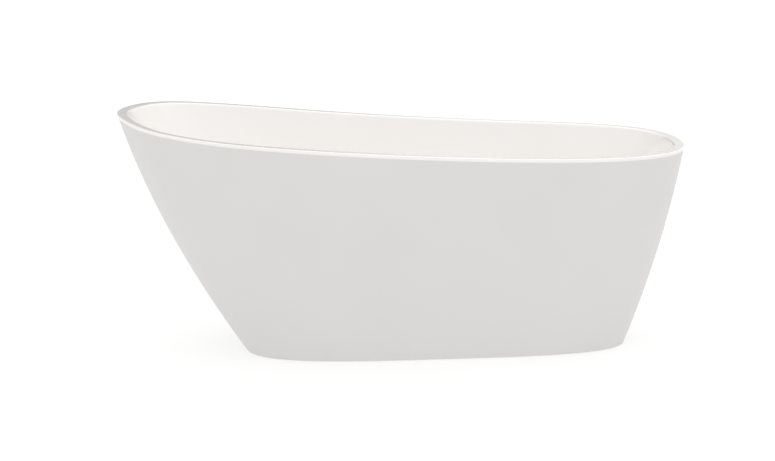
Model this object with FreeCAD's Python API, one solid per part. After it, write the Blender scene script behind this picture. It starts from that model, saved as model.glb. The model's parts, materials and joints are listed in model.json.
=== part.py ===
import FreeCAD, Part
import math
import os
from FreeCAD import Placement, Rotation, Vector

# Freestanding bathtub, single-ended "slipper" form: a basin shell and an outer shell joined
# under one thin rim that sweeps up at the head end, on a hidden steel frame with levelling legs.
# Row frame in millimetres: +Z up, +X towards the drain end, +Y to the bather's left.
# The origin lies on the floor, under the middle of the rim.

# ---- driving dimensions -------------------------------------------------------------------
LENGTH = 1700.0
HEAD_HEIGHT = 720.0
DRAIN_END_HEIGHT = 614.0
SWEEP_POWER = 2.0               # how late the rim's sweep rises towards the head

RIM_HALF_WIDTH = 385.0
RIM_SQUARENESS = (2.15, 4.25, 2.7)  # at the head tip, along the sides, at the drain tip
RIM_EGG = 0.106                 # how much wider the head end is than the drain end
RIM_WIDTH = 32.0
RIM_OUTER_ROUND = 4.0
RIM_INNER_ROUND = 5.0
LIP_DEPTH = 10.0                # how far the basin shell turns down over the outer shell

BASE_HALF_LENGTH = 581.0
BASE_HALF_WIDTH = 237.0
BASE_SHIFT = 100.0              # the base sits towards the drain end
BASE_SQUARENESS = (3.3, 3.4, 3.4)
BASE_EGG = 0.053
SIDE_BULGE = 0.39               # how far the outer wall bows out between base and rim
SKIRT_GAP = 3.0                 # the outer shell ends this far above the floor
SKIRT_FLANGE = 20.0             # inward flange along the outer shell's lower edge

SHELL_WALL = 5.0
BOND_GAP = 0.3                  # resin joint between the two shells
BACKING_GAP = 0.6               # resin joint between the basin and its laminate
BACKING_WALL = 3.0
BEAD_GAP = 0.9                  # adhesive bead under the rim: clear of the outer shell
BEAD_WIDTH = 7.0
BEAD_TOP_DEPTH = 10.5           # below the rim's underside, which slopes at the head
BEAD_BOTTOM_DEPTH = 26.0
BACKING_TOP_DEPTH = 14.0        # the laminate stops this far below the rim

FLOOR_HALF_LENGTH = 562.0
FLOOR_HALF_WIDTH = 205.0
FLOOR_SHIFT = 93.0
FLOOR_SQUARENESS = (2.9, 2.9, 2.9)
FLOOR_EGG = 0.10
BASIN_BULGE = 0.10
FLOOR_FALL = 0.006              # slope of the basin floor towards the drain
COVE_HEIGHT = 0.22              # share of the wall's height taken by the cove at its foot
COVE_REACH = 70.0
COVE_WEIGHT = 0.8               # how tightly the cove hugs its corner

DRAIN_X = 490.0
SEAT_Z = 160.0                  # top face of the pressed seat under the drain flange
SEAT_DEPTH = 5.0
SEAT_RADIUS = 44.0
DISH_RADIUS = 60.0
DRAIN_HOLE_RADIUS = 24.5

BOARD_TOP = 152.0
BOARD_THICK = 15.0
BOARD_MARGIN = 3.0

RAIL_SIZE = 30.0
RAIL_WALL = 2.0
RAIL_Y = 95.0
RAIL_HEAD_X = -400.0
RAIL_DRAIN_X = 600.0
CROSSBAR_HEIGHT = 25.0
CROSSBARS = {"head": (-330.0, 330.0), "middle": (60.0, 260.0), "drain": (400.0, 260.0)}

STUD_RADIUS = 6.0
THREAD_CLEARANCE = 0.08
LEG_PAD_RADIUS = 27.0
LEG_PAD_HEIGHT = 12.0
LEG_BOSS_RADIUS = 11.0
LEG_BOSS_TOP = 22.0
LEGS = {
    "head_left": (-330.0, 118.0, "crossbar"),
    "head_right": (-330.0, -118.0, "crossbar"),
    "middle": (60.0, 0.0, "crossbar"),
    "drain_left": (552.0, 95.0, "rail"),
    "drain_right": (552.0, -95.0, "rail"),
}

OVERFLOW_DEPTH = 95.0           # centre of the overflow below the rim
OVERFLOW_HOLE_RADIUS = 20.0
PIPE_RADIUS = 12.0
PIPE_BORE = 10.0
PIPE_BEND = 60.0
INLET_Z = 112.0                 # height of the overflow's inlet in the drain body

# ---- how finely the shells are drawn ------------------------------------------------------
RING_POINTS = 96
SECTORS = 8
WALL_RINGS = 8
ROUND_RINGS = 4

# ---- places worked out from the dimensions above ------------------------------------------
HALF_LENGTH = LENGTH / 2
BOARD_BOTTOM = BOARD_TOP - BOARD_THICK
RAIL_BOTTOM = BOARD_BOTTOM - RAIL_SIZE
CROSSBAR_BOTTOM = RAIL_BOTTOM - CROSSBAR_HEIGHT
FLOOR_LEVEL = SEAT_Z + SEAT_DEPTH
UP = Vector(0, 0, 1)
DRAIN = Vector(DRAIN_X, 0, 0)


# ---- outlines and skins of the two shells -------------------------------------------------
def superellipse(angle, half_length, half_width, squareness, egg):
    """Point of a rounded outline in plan, wider towards the head end.

    A squareness of 2 is an ellipse, and more is squarer. It changes smoothly between
    the head tip, the sides and the drain tip."""
    c = math.cos(angle)
    s = math.sin(angle)
    head, side, drain = squareness
    tip = head if c < 0 else drain
    power = side + (tip - side) * c * c
    reach = (abs(c) ** power + abs(s) ** power) ** (1 / power)
    x = half_length * c / reach
    y = half_width * s / reach * (1 - egg * x / half_length)
    return Vector(x, y, 0)


def rim_height(x):
    return DRAIN_END_HEIGHT + (HEAD_HEIGHT - DRAIN_END_HEIGHT) * (
        (HALF_LENGTH - x) / LENGTH) ** SWEEP_POWER


def rim_outline(angle, inset=0.0):
    """Rim outline in plan, moved inwards by inset, at the rim's height there."""
    def plan(a):
        return superellipse(a, HALF_LENGTH, RIM_HALF_WIDTH, RIM_SQUARENESS, RIM_EGG)
    step = 1e-4
    along = plan(angle + step) - plan(angle - step)
    outward = along.cross(UP).normalize()
    point = plan(angle) - outward * inset
    point.z = rim_height(min(point.x, HALF_LENGTH))
    return point


def base_outline(angle):
    point = superellipse(angle, BASE_HALF_LENGTH, BASE_HALF_WIDTH, BASE_SQUARENESS, BASE_EGG)
    return point + Vector(BASE_SHIFT, 0, SKIRT_GAP)


def bowed(bottom, top, share, bulge):
    """Point between bottom and top: even in height, bowed outwards in plan."""
    plan_share = share + bulge * share * (1 - share)
    point = bottom + (top - bottom) * plan_share
    point.z = bottom.z + (top.z - bottom.z) * share
    return point


def skirt(angle, share):
    """Outer face of the outer shell, from its lower edge (0) to the rim (1)."""
    return bowed(base_outline(angle), rim_outline(angle), share, SIDE_BULGE)


def skin_normal(skin, angle, share):
    """Unit normal of a skin, pointing away from the middle of the tub."""
    step = 1e-4
    along = skin(angle + step, share) - skin(angle - step, share)
    upward = skin(angle, share + step) - skin(angle, share - step)
    return along.cross(upward).normalize()


def skirt_inside(angle, share, depth):
    """Point at the same height as skirt(angle, share), depth inside the wall."""
    normal = skin_normal(skirt, angle, share)
    level = Vector(normal.x, normal.y, 0)
    return skirt(angle, share) - level * (depth / level.Length ** 2)


def below_rim(angle, depth):
    """Share of the skirt's height that lies depth below the rim."""
    return 1 - depth / (rim_outline(angle).z - SKIRT_GAP)


def wall(angle, share):
    """Basin wall with no cove or rounding, from the floor (0) to the rim (1)."""
    bottom = superellipse(angle, FLOOR_HALF_LENGTH, FLOOR_HALF_WIDTH, FLOOR_SQUARENESS, FLOOR_EGG)
    bottom = bottom + Vector(FLOOR_SHIFT, 0, 0)
    bottom.z = FLOOR_LEVEL + FLOOR_FALL * (bottom - DRAIN).Length
    return bowed(bottom, rim_outline(angle, RIM_WIDTH), share, BASIN_BULGE)


def wall_share(angle, depth):
    """Share of the basin wall's height that lies depth below the rim."""
    return 1 - depth / (wall(angle, 1).z - wall(angle, 0).z)


def conic(start, corner, end, weight, share):
    """Point of a rounded corner: leaves start and reaches end tangent to both sides."""
    a = (1 - share) ** 2
    b = 2 * weight * share * (1 - share)
    c = share ** 2
    return (start * a + corner * b + end * c) * (1 / (a + b + c))


def cove_ends(angle):
    """Foot of the wall, the sharp corner under it, and the edge of the flat floor."""
    step = 1e-4
    top = wall(angle, COVE_HEIGHT)
    slope = (wall(angle, COVE_HEIGHT + step) - wall(angle, COVE_HEIGHT - step)) * (0.5 / step)
    corner = top - slope * COVE_HEIGHT
    inward = dish_edge(angle) - corner
    return top, corner, corner + inward * (COVE_REACH / inward.Length)


def dish_edge(angle):
    """Edge of the shallow dish round the drain."""
    return DRAIN + Vector(DISH_RADIUS * math.cos(angle), DISH_RADIUS * math.sin(angle), FLOOR_LEVEL)


def basin(angle, station):
    """Inside face of the basin: floor in stations 0 to 1, cove in 1 to 2, wall in 2 to 3."""
    top, corner, edge = cove_ends(angle)
    if station <= 1:
        centre = dish_edge(angle)
        return centre + (edge - centre) * station
    if station <= 2:
        return conic(edge, corner, top, COVE_WEIGHT, station - 1)
    end = wall_share(angle, RIM_INNER_ROUND)
    return wall(angle, COVE_HEIGHT + (end - COVE_HEIGHT) * (station - 2))


def under_basin(angle, station, depth):
    """Point depth below or behind the basin's inside face."""
    return basin(angle, station) + skin_normal(basin, angle, station) * depth


# ---- closed skins from rings --------------------------------------------------------------
def ring(point_at):
    """Closed smooth wire through point_at(angle), once round the tub."""
    points = [point_at(2 * math.pi * i / RING_POINTS) for i in range(RING_POINTS)]
    curve = Part.BSplineCurve()
    curve.interpolate(Points=points, PeriodicFlag=True,
                      Parameters=[i / RING_POINTS for i in range(RING_POINTS + 1)])
    return Part.Wire([curve.toShape()])


def rings(skin, start, end, count):
    """Rings of a skin at count + 1 evenly spaced stations."""
    stations = [start + (end - start) * i / count for i in range(count + 1)]
    return [ring(lambda angle, s=s: skin(angle, s)) for s in stations]


def circle_ring(radius, z):
    """Ring round the drain, drawn like the others so that they join."""
    return ring(lambda a: DRAIN + Vector(radius * math.cos(a), radius * math.sin(a), z))


def sectors(sheet):
    """The sheet's surface as equal faces round the tub, which measure more exactly than one."""
    start, end, low, high = sheet.ParameterRange
    step = (end - start) / SECTORS
    return [sheet.Surface.toShape(start + step * i, start + step * (i + 1), low, high)
            for i in range(SECTORS)]


def closed_skin(sections):
    """Solid between sections that run round its profile and end where they begin.

    A section of two rings is ruled; a longer one is smooth. Each starts at the last ring
    of the one before it, and the last one ends at the first ring of all."""
    first = sections[0][0]
    faces = []
    previous = None
    for number, section in enumerate(sections):
        chain = section if previous is None else [previous] + section
        if number == len(sections) - 1:
            chain = chain + [first]
        if len(chain) == 2:
            sheet = Part.makeRuledSurface(chain[0], chain[1]).Faces[0]
        else:
            sheet = Part.makeLoft(chain).Faces[0]
        faces += sectors(sheet)
        previous = chain[-1]
    shell = Part.makeShell(faces)
    shell.sewShape()
    solid = Part.makeSolid(shell)
    if solid.Volume < 0:
        solid.reverse()
    return solid


def make_inner_shell():
    """Basin, flat rim and turned-down lip, one sheet of even thickness."""
    def inner_round(angle, share):
        start = basin(angle, 3)
        end = rim_outline(angle, RIM_WIDTH - RIM_INNER_ROUND)
        return conic(start, wall(angle, 1), end, math.cos(math.radians(38)), share)

    def outer_round(angle, share):
        start = rim_outline(angle, RIM_OUTER_ROUND)
        end = skirt(angle, below_rim(angle, RIM_OUTER_ROUND))
        return conic(start, rim_outline(angle), end, math.cos(math.radians(40)), share)

    def dish(angle, share):
        radius = SEAT_RADIUS + (DISH_RADIUS - SEAT_RADIUS) * share
        rise = SEAT_DEPTH * share ** 2 * (3 - 2 * share)
        return DRAIN + Vector(radius * math.cos(angle), radius * math.sin(angle), SEAT_Z + rise)

    def under(angle, station):
        return under_basin(angle, station, SHELL_WALL)

    def dish_under(angle, share):
        lower = dish(angle, share) - UP * SHELL_WALL
        edge_shift = under(angle, 0) - (dish(angle, 1) - UP * SHELL_WALL)
        return lower + edge_shift * share

    def lip_corner(angle):
        return skirt_inside(angle, below_rim(angle, SHELL_WALL), SHELL_WALL)

    lip_end = ring(lambda a: skirt(a, below_rim(a, LIP_DEPTH)))
    lip_inside = ring(lambda a: skirt_inside(a, below_rim(a, LIP_DEPTH), SHELL_WALL))
    return closed_skin([
        [circle_ring(DRAIN_HOLE_RADIUS, SEAT_Z), circle_ring(SEAT_RADIUS, SEAT_Z)],
        rings(dish, 0, 1, ROUND_RINGS)[1:],
        [ring(lambda a: basin(a, 1))],
        rings(basin, 1, 2, WALL_RINGS)[1:],
        rings(basin, 2, 3, WALL_RINGS)[1:],
        rings(inner_round, 0, 1, ROUND_RINGS)[1:],
        [ring(lambda a: rim_outline(a, RIM_OUTER_ROUND))],
        rings(outer_round, 0, 1, ROUND_RINGS)[1:],
        [lip_end],
        [lip_inside],
        [ring(lip_corner)],
        [ring(lambda a: under(a, 3))],
        rings(under, 3, 2, WALL_RINGS)[1:],
        rings(under, 2, 1, WALL_RINGS)[1:],
        [ring(lambda a: under(a, 0))],
        rings(dish_under, 1, 0, ROUND_RINGS)[1:],
        [circle_ring(DRAIN_HOLE_RADIUS, SEAT_Z - SHELL_WALL)],
        [],
    ])


def make_outer_shell():
    """Skirt from just above the floor to the lip, with an inward flange at its foot."""
    def outside(angle, share):
        return skirt(angle, share * below_rim(angle, LIP_DEPTH + BOND_GAP))

    def inside(angle, share):
        low = SHELL_WALL / (rim_outline(angle).z - SKIRT_GAP)
        high = below_rim(angle, LIP_DEPTH + BOND_GAP)
        return skirt_inside(angle, low + (high - low) * share, SHELL_WALL)

    def flange_edge(angle, height):
        point = skirt_inside(angle, 0, SHELL_WALL + SKIRT_FLANGE)
        point.z = SKIRT_GAP + height
        return point

    return closed_skin([
        rings(outside, 0, 1, WALL_RINGS),
        [ring(lambda a: inside(a, 1))],
        rings(inside, 1, 0, WALL_RINGS)[1:],
        [ring(lambda a: flange_edge(a, SHELL_WALL))],
        [ring(lambda a: flange_edge(a, 0))],
        [],
    ])


def make_rim_bond():
    """Adhesive bead under the rim that joins the two shells."""
    near = SHELL_WALL + BEAD_GAP
    far = near + BEAD_WIDTH
    top = BEAD_TOP_DEPTH
    bottom = BEAD_BOTTOM_DEPTH

    def corner(depth, inset):
        return ring(lambda a: skirt_inside(a, below_rim(a, depth), inset))

    return closed_skin([
        [corner(top, near), corner(bottom, near)],
        [corner(bottom, far)],
        [corner(top, far)],
        [],
    ])


def make_basin_backing():
    """Glass-fibre laminate bonded under the basin, flat beneath the floor."""
    near = SHELL_WALL + BACKING_GAP
    far = near + BACKING_WALL
    chamfer_station = 1.45

    def end_station(angle):
        start = COVE_HEIGHT
        high = wall_share(angle, RIM_INNER_ROUND)
        return 2 + (wall_share(angle, BACKING_TOP_DEPTH) - start) / (high - start)

    def face(depth, start, stop):
        def point(angle, share):
            low = end_station(angle) if start is None else start
            high = end_station(angle) if stop is None else stop
            return under_basin(angle, low + (high - low) * share, depth)
        return point

    def flat_edge(angle):
        point = basin(angle, 1)
        point.z = BOARD_TOP
        return point

    seat_under = SEAT_Z - near
    return closed_skin([
        [circle_ring(DRAIN_HOLE_RADIUS, seat_under), circle_ring(SEAT_RADIUS, seat_under)],
        [ring(lambda a: under_basin(a, 0, near))],
        [ring(lambda a: under_basin(a, 1, near))],
        rings(face(near, 1, 2), 0, 1, WALL_RINGS)[1:],
        rings(face(near, 2, None), 0, 1, WALL_RINGS)[1:],
        [ring(lambda a: face(far, 2, None)(a, 1))],
        rings(face(far, None, 2), 0, 1, WALL_RINGS)[1:],
        rings(face(far, 2, chamfer_station), 0, 1, ROUND_RINGS)[1:],
        [ring(flat_edge)],
        [circle_ring(DRAIN_HOLE_RADIUS, BOARD_TOP)],
        [],
    ])


# ---- plain shapes for the hardware --------------------------------------------------------
QUARTER_BOW = 1 - math.sqrt(0.5)  # bow of a quarter-round corner of radius 1


def cylinder(radius, x, y, bottom, top):
    return Part.makeCylinder(radius, top - bottom, Vector(x, y, bottom), UP)


def tube(outer, bore, x, y, bottom, top):
    return cylinder(outer, x, y, bottom, top).cut(cylinder(bore, x, y, bottom, top))


def block(x0, x1, y0, y1, z0, z1):
    return Part.makeBox(x1 - x0, y1 - y0, z1 - z0, Vector(x0, y0, z0))


def turned(profile):
    """Solid turned about the Z axis from (radius, height) points.

    A third number bows the stretch from that point to the next one into an arc, by so
    much to the right of the way the outline runs."""
    points = [Vector(point[0], 0, point[1]) for point in profile]
    edges = []
    for number, start in enumerate(points):
        end = points[(number + 1) % len(points)]
        if len(profile[number]) == 3:
            sideways = Vector(0, 1, 0).cross(end - start).normalize()
            middle = (start + end) * 0.5 + sideways * profile[number][2]
            edges.append(Part.Arc(start, middle, end).toShape())
        else:
            edges.append(Part.makeLine(start, end))
    return Part.Face(Part.Wire(edges)).revolve(Vector(0, 0, 0), UP, 360)


def hexagon(across_flats, x, y, bottom, top):
    """Hexagonal prism with a flat towards +Y."""
    corner = across_flats / math.sqrt(3)
    points = [Vector(x + corner * math.cos(math.radians(60 * i)),
                     y + corner * math.sin(math.radians(60 * i)), bottom) for i in range(7)]
    return Part.Face(Part.makePolygon(points)).extrude(UP * (top - bottom))


def hex_nut(across_flats, bore, x, y, bottom, top):
    """Nut with its corners turned down to a chamfer at both ends."""
    corner = across_flats / math.sqrt(3)
    chamfer = (corner - across_flats / 2) * 0.6
    face = corner - chamfer * 1.4
    body = turned([(0, bottom), (face, bottom), (corner, bottom + chamfer),
                   (corner, top - chamfer), (face, top), (0, top)])
    body.translate(Vector(x, y, 0))
    return body.common(hexagon(across_flats, x, y, bottom, top)).cut(
        cylinder(bore, x, y, bottom, top))


def hex_bolt(radius, across_flats, head_height, x, y, head_bottom, tip):
    """Bolt standing upright with its head at the bottom."""
    head_top = head_bottom + head_height
    shank = cylinder(radius, x, y, head_top, tip)
    return hexagon(across_flats, x, y, head_bottom, head_top).fuse(shank).removeSplitter()


def group(solids):
    return Part.makeCompound(solids)


# ---- the frame under the basin ------------------------------------------------------------
FRAME_BOLT_RADIUS = 3.0
BOLT_CLEARANCE = 0.3
RIVET_NUT_RADIUS = 4.9
RIVET_NUT_HEIGHT = 10.0
RIVET_COLLAR_REACH = 1.5
RIVET_COLLAR_THICK = 2.0
FRAME_BOLT_HEAD = 10.0
FRAME_BOLT_HEAD_HEIGHT = 4.0
BOARD_SCREW_RADIUS = 2.5
BOARD_SCREW_HEAD = 8.0
BOARD_SCREW_HEAD_HEIGHT = 3.0
BOARD_SCREW_BITE = 10.0
BOARD_SCREW_XS = (-200.0, 230.0, 500.0)
CAP_DEPTH = 12.0
CAP_FACE = 2.0
CAP_CLEARANCE = 0.2

RAIL_YS = (RAIL_Y, -RAIL_Y)
CROSSING_POINTS = [(x, y) for x, _ in CROSSBARS.values() for y in RAIL_YS]


def make_floor_board():
    """Moisture-proof board under the flat part of the basin floor, with a hole for the drain."""
    def edge(angle, height):
        point = cove_ends(angle)[2]
        inward = (DRAIN - Vector(point.x, point.y, 0)).normalize()
        return Vector(point.x, point.y, height) + inward * BOARD_MARGIN

    top = ring(lambda a: edge(a, BOARD_TOP))
    board = Part.Face(top).extrude(UP * -BOARD_THICK)
    board = board.cut(cylinder(DISH_RADIUS, DRAIN_X, 0, BOARD_BOTTOM, BOARD_TOP))
    pilot = BOARD_SCREW_RADIUS + CAP_CLEARANCE
    pilot_top = BOARD_BOTTOM + BOARD_SCREW_BITE + 1
    for x in BOARD_SCREW_XS:
        for y in RAIL_YS:
            board = board.cut(cylinder(pilot, x, y, BOARD_BOTTOM, pilot_top))
    return board


def make_rail(y):
    """Square steel tube along the tub, drilled for its bolts, screws and levelling leg."""
    half = RAIL_SIZE / 2
    rail = block(RAIL_HEAD_X, RAIL_DRAIN_X, y - half, y + half, RAIL_BOTTOM, BOARD_BOTTOM)
    bore = half - RAIL_WALL
    rail = rail.cut(block(RAIL_HEAD_X, RAIL_DRAIN_X, y - bore, y + bore,
                          RAIL_BOTTOM + RAIL_WALL, BOARD_BOTTOM - RAIL_WALL))
    for x, crossing_y in CROSSING_POINTS:
        if crossing_y == y:
            rail = rail.cut(cylinder(RIVET_NUT_RADIUS + 0.1, x, y, RAIL_BOTTOM,
                                     RAIL_BOTTOM + RAIL_WALL))
    for x in BOARD_SCREW_XS:
        rail = rail.cut(cylinder(BOARD_SCREW_RADIUS + BOLT_CLEARANCE, x, y,
                                 RAIL_BOTTOM, BOARD_BOTTOM))
    for x, leg_y, kind in LEGS.values():
        if kind == "rail" and leg_y == y:
            rail = rail.cut(cylinder(STUD_RADIUS + 0.5, x, y, RAIL_BOTTOM,
                                     RAIL_BOTTOM + RAIL_WALL))
    for x, bracket_y in RAIL_BRACKETS:
        if bracket_y == y:
            rail = rail.cut(cylinder(FRAME_BOLT_RADIUS + BOLT_CLEARANCE, x, y,
                                     RAIL_BOTTOM, RAIL_BOTTOM + RAIL_WALL))
    return rail


def make_crossbar(name):
    """Rectangular steel tube across the tub, under the rails."""
    x, length = CROSSBARS[name]
    half = RAIL_SIZE / 2
    bore = half - RAIL_WALL
    bar = block(x - half, x + half, -length / 2, length / 2, CROSSBAR_BOTTOM, RAIL_BOTTOM)
    bar = bar.cut(block(x - bore, x + bore, -length / 2, length / 2,
                        CROSSBAR_BOTTOM + RAIL_WALL, RAIL_BOTTOM - RAIL_WALL))
    for y in RAIL_YS:
        bar = bar.cut(cylinder(FRAME_BOLT_RADIUS + BOLT_CLEARANCE, x, y,
                               CROSSBAR_BOTTOM, RAIL_BOTTOM))
    for leg_x, leg_y, kind in LEGS.values():
        if kind == "crossbar" and leg_x == x:
            bar = bar.cut(cylinder(STUD_RADIUS + 0.5, x, leg_y, CROSSBAR_BOTTOM,
                                   CROSSBAR_BOTTOM + RAIL_WALL))
    for bracket_x, bracket_y, _ in CROSSBAR_BRACKETS:
        if bracket_x == x:
            bar = bar.cut(cylinder(FRAME_BOLT_RADIUS + BOLT_CLEARANCE, x, bracket_y,
                                   CROSSBAR_BOTTOM, CROSSBAR_BOTTOM + RAIL_WALL))
    return bar


def make_rail_end_caps():
    """Plastic plugs in the four open ends of the rails."""
    caps = []
    half = RAIL_SIZE / 2
    plug = half - RAIL_WALL - CAP_CLEARANCE
    for y in RAIL_YS:
        middle = (RAIL_BOTTOM + BOARD_BOTTOM) / 2
        for end, out in ((RAIL_HEAD_X, -1), (RAIL_DRAIN_X, 1)):
            face = sorted((end, end + out * CAP_FACE))
            stem = sorted((end, end - out * CAP_DEPTH))
            cap = block(face[0], face[1], y - half, y + half, RAIL_BOTTOM, BOARD_BOTTOM)
            inner = block(stem[0], stem[1], y - plug, y + plug, middle - plug, middle + plug)
            caps.append(cap.fuse(inner).removeSplitter())
    return group(caps)


def make_crossbar_end_caps():
    """Plastic plugs in the six open ends of the crossbars."""
    caps = []
    half = RAIL_SIZE / 2
    plug = half - RAIL_WALL - CAP_CLEARANCE
    low = CROSSBAR_BOTTOM + RAIL_WALL + CAP_CLEARANCE
    high = RAIL_BOTTOM - RAIL_WALL - CAP_CLEARANCE
    for x, length in CROSSBARS.values():
        for out in (-1, 1):
            end = out * length / 2
            face = sorted((end, end + out * CAP_FACE))
            stem = sorted((end, end - out * CAP_DEPTH / 2))
            cap = block(x - half, x + half, face[0], face[1], CROSSBAR_BOTTOM, RAIL_BOTTOM)
            inner = block(x - plug, x + plug, stem[0], stem[1], low, high)
            caps.append(cap.fuse(inner).removeSplitter())
    return group(caps)


def frame_bolt(x, y, seat, tip):
    """Bolt whose head bears from below on a face at the height of seat."""
    return hex_bolt(FRAME_BOLT_RADIUS, FRAME_BOLT_HEAD, FRAME_BOLT_HEAD_HEIGHT, x, y,
                    seat - FRAME_BOLT_HEAD_HEIGHT, tip)


def make_frame_bolts():
    """Bolts from below that hold the crossbars to the rails."""
    return group([frame_bolt(x, y, CROSSBAR_BOTTOM, RAIL_BOTTOM + RIVET_NUT_HEIGHT)
                  for x, y in CROSSING_POINTS])


def make_rivet_nuts():
    """Threaded inserts for the frame bolts in the rails' lower walls."""
    bore = FRAME_BOLT_RADIUS + THREAD_CLEARANCE
    collar_bottom = RAIL_BOTTOM + RAIL_WALL
    nuts = []
    for x, y in CROSSING_POINTS:
        body = tube(RIVET_NUT_RADIUS, bore, x, y, RAIL_BOTTOM, RAIL_BOTTOM + RIVET_NUT_HEIGHT)
        collar = tube(RIVET_NUT_RADIUS + RIVET_COLLAR_REACH, bore, x, y,
                      collar_bottom, collar_bottom + RIVET_COLLAR_THICK)
        nuts.append(body.fuse(collar).removeSplitter())
    return group(nuts)


def make_board_screws():
    """Wood screws up through both walls of each rail into the board."""
    return group([hex_bolt(BOARD_SCREW_RADIUS, BOARD_SCREW_HEAD, BOARD_SCREW_HEAD_HEIGHT, x, y,
                           RAIL_BOTTOM - BOARD_SCREW_HEAD_HEIGHT, BOARD_BOTTOM + BOARD_SCREW_BITE)
                  for x in BOARD_SCREW_XS for y in RAIL_YS])


# ---- brackets that steady the foot of the outer shell -------------------------------------
BRACKET_THICK = 3.0
BRACKET_WIDTH = 26.0
BRACKET_TAB = 26.0
BRACKET_PAD_THICK = 2.0
BRACKET_FOOT_Z = SKIRT_GAP + SHELL_WALL + BRACKET_PAD_THICK
BRACKET_PAD_SPAN = (0.15, 0.7)  # where the pads lie across the flange's width
BRACKET_NUT_ROOM = 4.0          # how far the bracket bolts stand inside the tubes

CROSSBAR_BRACKET_Y = CROSSBARS["head"][1] / 2 - 11
CROSSBAR_BRACKETS = [(CROSSBARS["head"][0], side * CROSSBAR_BRACKET_Y, side) for side in (1, -1)]
RAIL_BRACKETS = [(RAIL_DRAIN_X - 18, y) for y in RAIL_YS]


def flange_reach(direction, start):
    """Distance from start, along direction, to the inner edge of the skirt's flange."""
    best = None
    for i in range(720):
        angle = math.radians(i / 2)
        point = skirt_inside(angle, 0, SHELL_WALL + SKIRT_FLANGE)
        offset = Vector(point.x - start.x, point.y - start.y, 0)
        ahead = offset.dot(direction)
        sideways = (offset - direction * ahead).Length
        if ahead > 0 and (best is None or sideways < best[0]):
            best = (sideways, ahead)
    return best[1]


def bracket_frames():
    """Hole centre, outward direction and top of the tab of every bracket."""
    frames = [(Vector(x, y, 0), Vector(0, side, 0), CROSSBAR_BOTTOM)
              for x, y, side in CROSSBAR_BRACKETS]
    frames += [(Vector(x, y, 0), Vector(1, 0, 0), RAIL_BOTTOM) for x, y in RAIL_BRACKETS]
    return frames


def strip(origin, direction, ahead, heights):
    """Box across the bracket's width: from ahead[0] to ahead[1] along direction."""
    across = UP.cross(direction)
    corner = origin + direction * ahead[0] - across * (BRACKET_WIDTH / 2)
    corner.z = heights[0]
    base = Part.makePolygon([corner, corner + across * BRACKET_WIDTH,
                             corner + across * BRACKET_WIDTH + direction * (ahead[1] - ahead[0]),
                             corner + direction * (ahead[1] - ahead[0]), corner])
    return Part.Face(base).extrude(UP * (heights[1] - heights[0]))


def make_skirt_brackets():
    """Folded steel strips from the frame down to the flange of the outer shell."""
    brackets = []
    for origin, direction, top in bracket_frames():
        back = -BRACKET_TAB / 2
        bend = BRACKET_TAB / 2
        reach = flange_reach(direction, origin) + SKIRT_FLANGE * BRACKET_PAD_SPAN[1]
        tab = strip(origin, direction, (back, bend), (top - BRACKET_THICK, top))
        drop = strip(origin, direction, (bend - BRACKET_THICK, bend), (BRACKET_FOOT_Z, top))
        foot = strip(origin, direction, (bend - BRACKET_THICK, reach),
                     (BRACKET_FOOT_Z, BRACKET_FOOT_Z + BRACKET_THICK))
        hole = cylinder(FRAME_BOLT_RADIUS + BOLT_CLEARANCE, origin.x, origin.y,
                        top - BRACKET_THICK, top)
        brackets.append(tab.fuse([drop, foot]).removeSplitter().cut(hole))
    return group(brackets)


def make_bracket_bolts():
    return group([frame_bolt(origin.x, origin.y, top - BRACKET_THICK,
                             top + RAIL_WALL + BRACKET_NUT_ROOM)
                  for origin, _, top in bracket_frames()])


def make_bracket_pads():
    """Adhesive rubber pads between the brackets and the flange."""
    pads = []
    for origin, direction, _ in bracket_frames():
        edge = flange_reach(direction, origin)
        ahead = [edge + SKIRT_FLANGE * share for share in BRACKET_PAD_SPAN]
        pads.append(strip(origin, direction, ahead,
                          (BRACKET_FOOT_Z - BRACKET_PAD_THICK, BRACKET_FOOT_Z)))
    return group(pads)


# ---- levelling legs -----------------------------------------------------------------------
LEG_NUT_HEIGHT = 10.0
LOCK_NUT_HEIGHT = 8.0
LEG_NUT_SIZE = 19.0
STUD_FOOT = 6.1
STUD_PROUD = 12.0               # length of stud above the leg nut
SPANNER_SIZE = 14.0
SPANNER_BOTTOM = LEG_BOSS_TOP + 3
SPANNER_TOP = LEG_BOSS_TOP + 9


def leg_base(kind):
    return RAIL_BOTTOM if kind == "rail" else CROSSBAR_BOTTOM


def make_leg_nuts():
    """Nuts welded under the frame, one for each leg."""
    return group([hex_nut(LEG_NUT_SIZE, STUD_RADIUS + THREAD_CLEARANCE, x, y,
                          leg_base(kind) - LEG_NUT_HEIGHT, leg_base(kind))
                  for x, y, kind in LEGS.values()])


def make_leg_locknuts():
    """Thinner nuts turned up hard against the leg nuts."""
    nuts = []
    for x, y, kind in LEGS.values():
        top = leg_base(kind) - LEG_NUT_HEIGHT
        nuts.append(hex_nut(LEG_NUT_SIZE, STUD_RADIUS + THREAD_CLEARANCE, x, y,
                            top - LOCK_NUT_HEIGHT, top))
    return group(nuts)


def make_leg_stud(x, y, kind):
    """Threaded stud with a hexagon for the spanner just above the pad."""
    stud = cylinder(STUD_RADIUS, x, y, STUD_FOOT, leg_base(kind) + STUD_PROUD)
    spanner = hexagon(SPANNER_SIZE, x, y, SPANNER_BOTTOM, SPANNER_TOP)
    return stud.fuse(spanner).removeSplitter()


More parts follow.
